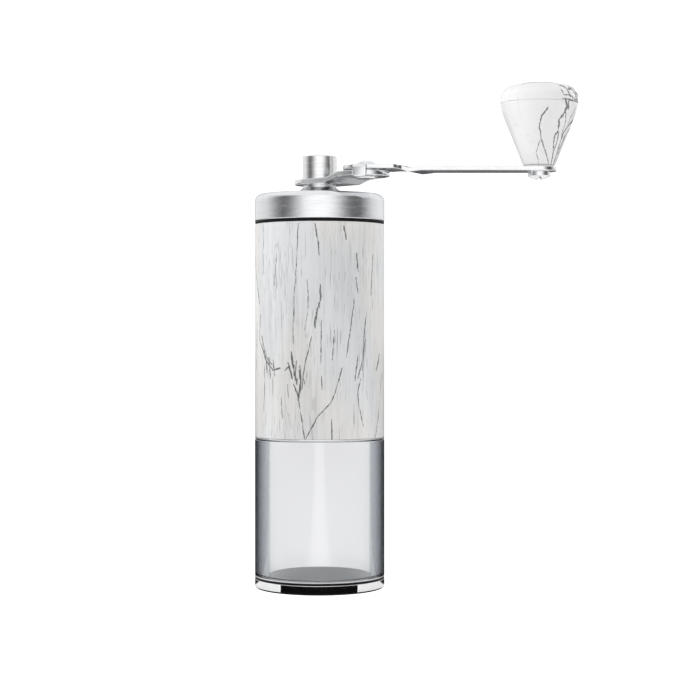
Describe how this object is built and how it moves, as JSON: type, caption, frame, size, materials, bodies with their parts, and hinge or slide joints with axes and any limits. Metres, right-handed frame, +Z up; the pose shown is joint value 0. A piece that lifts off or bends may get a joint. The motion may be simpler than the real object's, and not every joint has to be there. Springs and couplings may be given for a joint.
{
  "type": "hand crank coffee grinder",
  "caption": "Slim hand coffee grinder with a marble-print sleeve, clear grounds cup, brushed lid and a folding crank arm with a knob.",
  "frame": {"origin": "on the grinder's axis, in the plane it stands on", "axes": "+Z up along the body, +X along the opened crank arm towards the knob, -Y towards the side that the arm's pivot lies on"},
  "size_m": [0.1226, 0.0569, 0.1923],
  "materials": {
    "clear_acrylic": "clear, polished",
    "polished_steel": "mirror polished",
    "satin_steel": "satin",
    "dark_steel": "satin, darker",
    "spring_steel": "drawn wire",
    "brushed_aluminium": "brushed round the axis",
    "marble_print": "white with grey marble veins, satin gloss",
    "black_rubber": "matt",
    "black_nylon": "matt moulded",
    "grey_nylon": "matt moulded",
    "bronze": "plain bearing",
    "white_ceramic": "fired ceramic, unglazed"
  },
  "bodies": {
    "body": {"body_tube": "satin_steel", "marble_sleeve": "marble_print", "upper_bridge": "black_nylon", "upper_bushing": "bronze", "burr_housing": "black_nylon", "lower_bushing": "bronze", "outer_burr": "white_ceramic", "burr_retaining_ring": "satin_steel", "burr_ring_screws": "satin_steel"},
    "cup": {"clear_cup": "clear_acrylic", "foot_cap": "polished_steel", "base_seal_ring": "black_rubber", "cup_floor_disc": "dark_steel", "cup_o_ring": "black_rubber"},
    "shaft": {"drive_shaft": "satin_steel", "shaft_clip": "dark_steel", "spring_washer": "satin_steel", "burr_spring": "spring_steel"},
    "burr": {"inner_burr": "white_ceramic", "burr_core": "black_nylon"},
    "dial": {"adjusting_dial": "grey_nylon"},
    "lid": {"lid_shell": "brushed_aluminium", "lid_insert": "black_nylon", "lid_gasket": "black_rubber", "lid_seal": "black_rubber", "lid_bushing": "bronze"},
    "crank": {"crank_hub": "satin_steel", "hub_clip": "dark_steel", "hub_bracket": "satin_steel", "thumb_nut": "satin_steel", "pivot_washer": "satin_steel", "pivot_rivet": "satin_steel"},
    "arm": {"crank_arm": "satin_steel", "knob_screw": "satin_steel", "knob_spindle": "satin_steel", "knob_washer": "grey_nylon"},
    "knob": {"knob_body": "marble_print", "knob_cap": "marble_print"}
  },
  "joints": [
    {"name": "cup_slide", "type": "slide", "parent": "body", "child": "cup", "axis": [0, 0, -1], "range_m": [0, 0.07]},
    {"name": "lid_lift", "type": "slide", "parent": "body", "child": "lid", "axis": [0, 0, 1], "range_m": [0, 0.05]},
    {"name": "crank_spin", "type": "hinge", "parent": "lid", "child": "crank", "pos_m": [0, 0, 0.15], "axis": [0, 0, 1], "continuous": true},
    {"name": "arm_fold", "type": "hinge", "parent": "crank", "child": "arm", "pos_m": [0.0178, -0.01719, 0.16], "axis": [0, 0, 1], "range_deg": [0, 100]},
    {"name": "knob_spin", "type": "hinge", "parent": "arm", "child": "knob", "pos_m": [0.0829, -0.01719, 0.17], "axis": [0, 0, 1], "continuous": true},
    {"name": "shaft_spin", "type": "hinge", "parent": "body", "child": "shaft", "pos_m": [0, 0, 0.1], "axis": [0, 0, 1], "continuous": true},
    {"name": "burr_travel", "type": "slide", "parent": "shaft", "child": "burr", "axis": [0, 0, -1], "range_m": [0, 0.0015], "deforming": ["burr_spring"]},
    {"name": "dial_turn", "type": "hinge", "parent": "burr", "child": "dial", "pos_m": [0, 0, 0.066], "axis": [0, 0, 1], "range_deg": [0, 720]}
  ],
  "couplings": [
    {"joint": "shaft_spin", "follows": "crank_spin", "ratio": 1},
    {"joint": "burr_travel", "follows": "dial_turn", "m_per_rad": 0.00011937}
  ]
}
